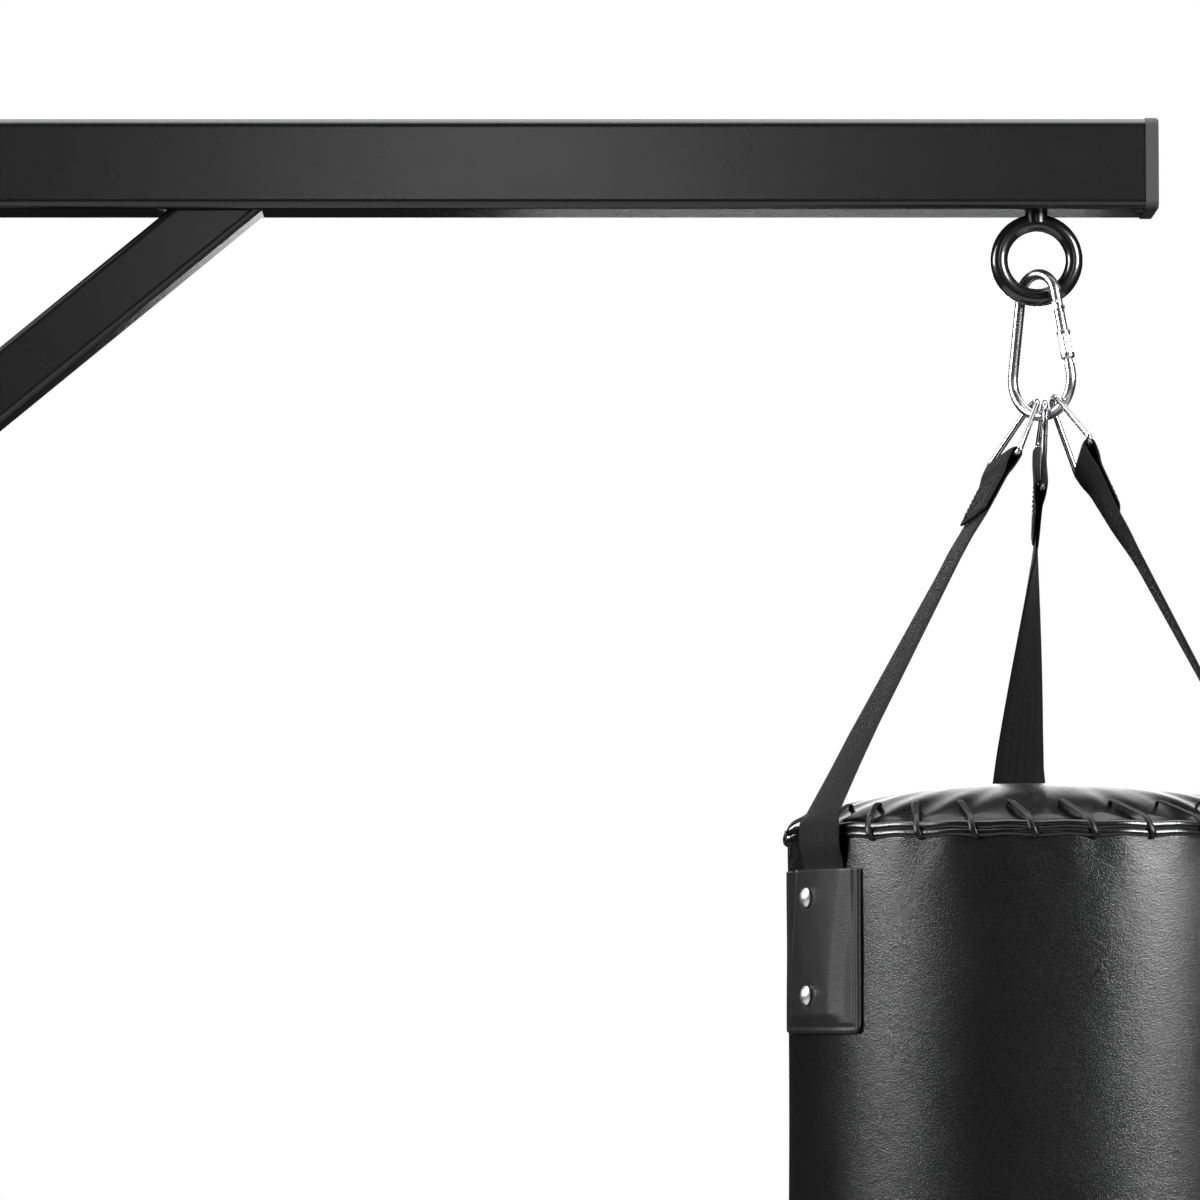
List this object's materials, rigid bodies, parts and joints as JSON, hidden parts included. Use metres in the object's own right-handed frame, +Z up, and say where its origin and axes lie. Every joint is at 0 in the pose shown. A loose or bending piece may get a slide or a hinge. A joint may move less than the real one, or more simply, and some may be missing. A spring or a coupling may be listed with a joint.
{
  "type": "punching bag on stand",
  "caption": "Free-standing steel stand whose braced arm carries a laced heavy bag on riveted webbing straps and a locking snap hook.",
  "frame": {"origin": "middle of the stand's footprint, on the floor", "axes": "+Z up, +X from the post along the arm towards the bag, -Y towards the viewer of the picture"},
  "size_m": [1.5168, 1.2, 2.211],
  "materials": {
    "black_paint": "gloss",
    "bare_steel": "satin",
    "zinc": "satin",
    "cap_plastic": "matte",
    "foot_rubber": "matte",
    "hook_steel": "polished",
    "sleeve_steel": "satin",
    "ring_steel": "polished",
    "webbing": "matte",
    "patch_leather": "satin",
    "rivet_steel": "polished",
    "shell_leather": "satin",
    "top_leather": "satin",
    "lace_leather": "satin",
    "liner_foam": "matte",
    "textile_fill": "matte"
  },
  "bodies": {
    "stand": {"post": "black_paint", "arm": "black_paint", "upper_brace": "black_paint", "arm_mount_plate": "black_paint", "post_back_plate": "black_paint", "hanging_ring": "black_paint", "ring_weld": "black_paint", "base_runner": "black_paint", "runner_end_plates": "black_paint", "rear_crossbar": "black_paint", "front_crossbar": "black_paint", "foot_gussets": "black_paint", "lower_brace": "black_paint", "lower_brace_plates": "black_paint", "peg_flanges": "black_paint", "plate_peg_left": "bare_steel", "plate_peg_right": "bare_steel", "mount_bolts": "zinc", "mount_washers": "zinc", "mount_nuts": "zinc", "crossbar_bolts": "zinc", "crossbar_washers": "zinc", "crossbar_nuts": "zinc", "gusset_bolts": "zinc", "gusset_washers": "zinc", "gusset_nuts": "zinc", "lower_brace_bolts": "zinc", "lower_brace_washers": "zinc", "threaded_inserts": "zinc", "arm_end_cap": "cap_plastic", "post_top_cap": "cap_plastic", "crossbar_end_caps": "cap_plastic", "rubber_feet": "foot_rubber"},
    "carabiner": {"carabiner_body": "hook_steel", "gate_pin": "hook_steel"},
    "gate": {"carabiner_gate": "hook_steel", "gate_plunger": "hook_steel", "gate_spring": "hook_steel"},
    "sleeve": {"lock_sleeve": "sleeve_steel"},
    "bag": {"triangle_ring_left": "ring_steel", "triangle_ring_rear": "ring_steel", "triangle_ring_right": "ring_steel", "strap_left": "webbing", "strap_rear": "webbing", "strap_right": "webbing", "strap_patch_left": "patch_leather", "strap_patch_rear": "patch_leather", "strap_patch_right": "patch_leather", "strap_rivets": "rivet_steel", "rivet_burrs": "rivet_steel", "bag_shell": "shell_leather", "bag_bottom": "shell_leather", "bag_top": "top_leather", "bag_lace": "lace_leather", "bag_foam_liner": "liner_foam", "bag_filling": "textile_fill"}
  },
  "joints": [
    {"name": "carabiner_swing", "type": "hinge", "parent": "stand", "child": "carabiner", "pos_m": [0.327, 0, 2.1184], "axis": [0, 1, 0], "range_deg": [-25, 25]},
    {"name": "bag_swing", "type": "hinge", "parent": "carabiner", "child": "bag", "pos_m": [0.3302, 0, 2.03866], "axis": [0.6686, 0.7431, 0.0269], "range_deg": [-22, 22]},
    {"name": "gate_open", "type": "hinge", "parent": "carabiner", "child": "gate", "pos_m": [0.34068, -0.01112, 2.08572], "axis": [0.6686, 0.7431, 0.0269], "range_deg": [0, 25], "stiffness_Nm_per_rad": 0.05, "springref_deg": -17.19},
    {"name": "sleeve_slide", "type": "slide", "parent": "gate", "child": "sleeve", "axis": [-0.1725, 0.1199, 0.9777], "range_m": [0, 0.006]}
  ]
}
